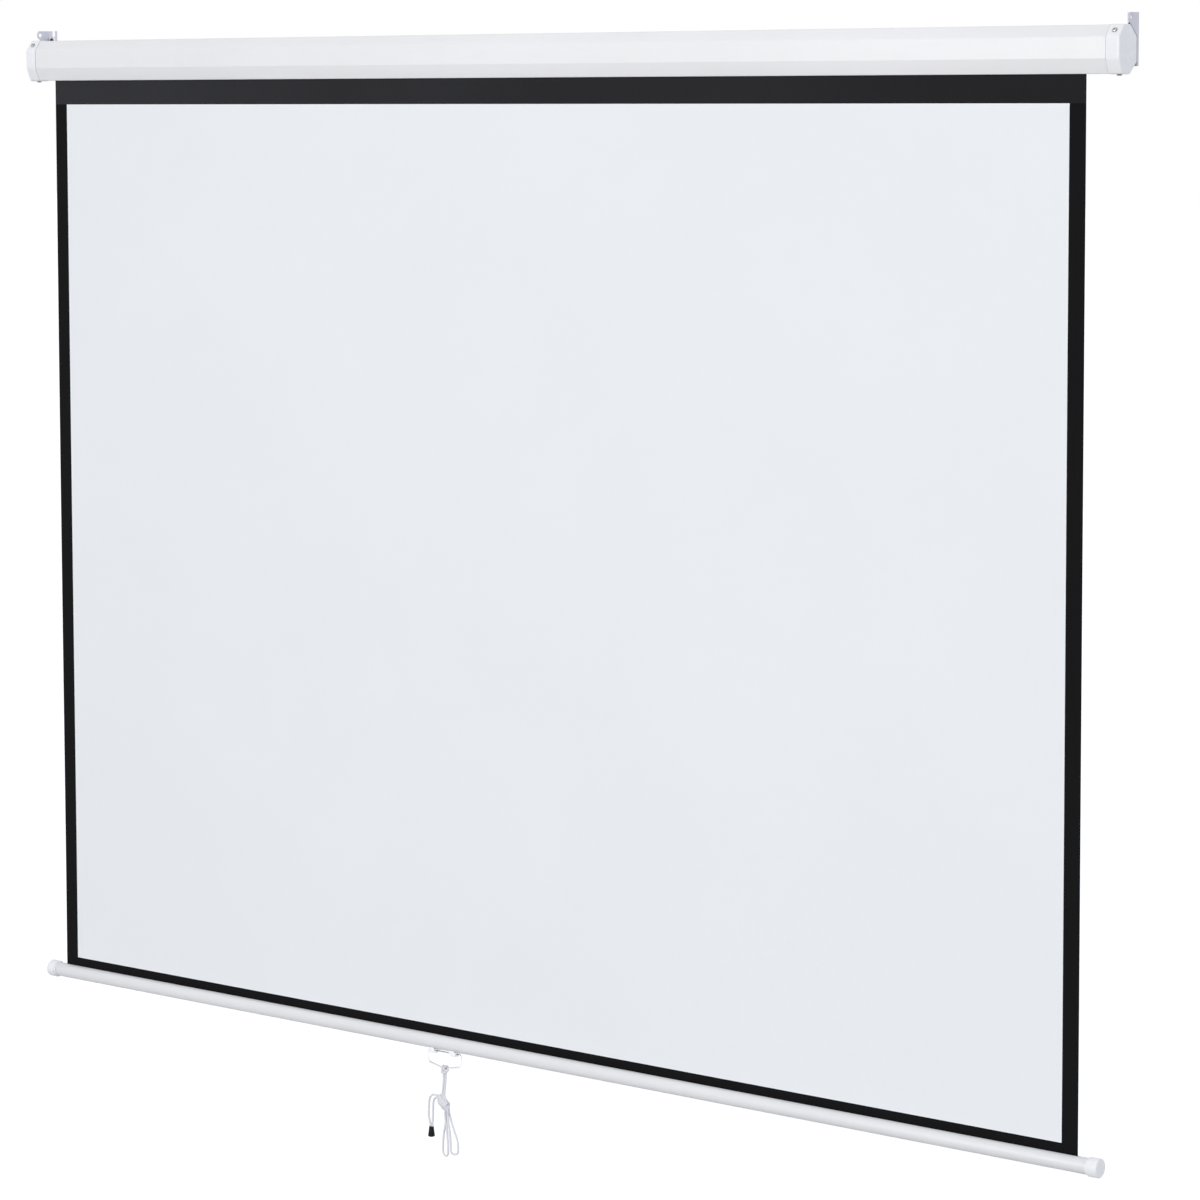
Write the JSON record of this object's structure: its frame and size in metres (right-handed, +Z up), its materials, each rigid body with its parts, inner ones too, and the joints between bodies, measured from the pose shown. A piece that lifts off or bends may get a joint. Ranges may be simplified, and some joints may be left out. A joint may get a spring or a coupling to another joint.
{
  "type": "pull down projector screen",
  "caption": "Spring roller projection screen in an eight-sided housing with end caps, wall brackets, a bordered sheet, a weight bar, a wire handle and a knotted pull cord",
  "frame": {"origin": "on the wall, midway between the two brackets, at the height of their wall notches", "axes": "+X along the housing, to the right for someone who faces the sheet; -Y from the wall toward that viewer; +Z up"},
  "size_m": [2.207, 0.0608, 1.8735],
  "materials": {
    "white_enamel": "smooth white enamel",
    "white_plastic": "smooth white moulding",
    "grey_enamel": "pale grey enamel",
    "bright_steel": "bright plated steel",
    "dark_steel": "blackened screw",
    "raw_steel": "plain steel",
    "raw_aluminium": "plain drawn tube",
    "black_plastic": "smooth black moulding",
    "sheet_cloth": "matt white cloth with a black border and black back",
    "white_cord": "white braided cord"
  },
  "bodies": {
    "housing": {"housing_shell": "white_enamel", "end_cap_left": "white_plastic", "cap_screw_upper_left": "bright_steel", "cap_screw_lower_left": "bright_steel", "mount_bracket_left": "grey_enamel", "bracket_screw_left": "dark_steel", "end_cap_right": "white_plastic", "cap_screw_upper_right": "bright_steel", "cap_screw_lower_right": "bright_steel", "mount_bracket_right": "grey_enamel", "bracket_screw_right": "dark_steel", "support_plate_left": "raw_steel", "spring_arbor": "raw_steel", "spring_anchor": "raw_steel", "torsion_spring": "raw_steel", "ratchet_wheel": "raw_steel", "support_plate_right": "raw_steel", "idle_bush": "black_plastic", "screen_sheet": "sheet_cloth"},
    "roller": {"roller_tube": "raw_aluminium", "fabric_roll": "sheet_cloth", "roller_plug_left": "white_plastic", "roller_plug_right": "white_plastic", "pawl_pin_a": "bright_steel", "pawl_pin_b": "bright_steel", "idle_pin": "bright_steel"},
    "pawl_arm_a": {"pawl_a": "raw_steel"},
    "pawl_arm_b": {"pawl_b": "raw_steel"},
    "bar": {"weight_bar": "white_enamel", "hem_rod": "white_plastic", "bar_cap_left": "white_plastic", "bar_cap_right": "white_plastic", "handle_clip_left": "bright_steel", "clip_screw_left": "bright_steel", "handle_clip_right": "bright_steel", "clip_screw_right": "bright_steel"},
    "handle": {"handle_bail": "bright_steel"},
    "pull_cord": {"cord_hitch": "white_cord", "cord_stem_a": "white_cord", "cord_stem_b": "white_cord", "cord_tail_a": "white_cord", "cord_tail_b": "white_cord", "cord_loop_a": "white_cord", "cord_loop_b": "white_cord", "cord_knot": "white_cord", "cord_tip": "black_plastic"}
  },
  "joints": [
    {"name": "screen_travel", "type": "slide", "parent": "housing", "child": "bar", "axis": [0, 0, 1], "range_m": [0, 1.5771], "deforming": ["screen_sheet"]},
    {"name": "roller_spin", "type": "hinge", "parent": "housing", "child": "roller", "pos_m": [0, -0.0305, -0.0455], "axis": [-1, 0, 0], "range_deg": [0, 5042]},
    {"name": "pawl_a_swing", "type": "hinge", "parent": "roller", "child": "pawl_arm_a", "pos_m": [-1.0619, -0.0195, -0.0455], "axis": [1, 0, 0], "range_deg": [-12, 12]},
    {"name": "pawl_b_swing", "type": "hinge", "parent": "roller", "child": "pawl_arm_b", "pos_m": [-1.0619, -0.0415, -0.0455], "axis": [1, 0, 0], "range_deg": [-12, 12]},
    {"name": "bail_swing", "type": "hinge", "parent": "bar", "child": "handle", "pos_m": [-0.163, -0.04615, -1.6905], "axis": [1, 0, 0], "range_deg": [-80, 80]},
    {"name": "cord_swing", "type": "hinge", "parent": "handle", "child": "pull_cord", "pos_m": [-0.163, -0.04615, -1.7175], "axis": [1, 0, 0], "range_deg": [-60, 60]}
  ],
  "couplings": [
    {"joint": "roller_spin", "follows": "screen_travel", "rad_per_m": 55.776}
  ]
}
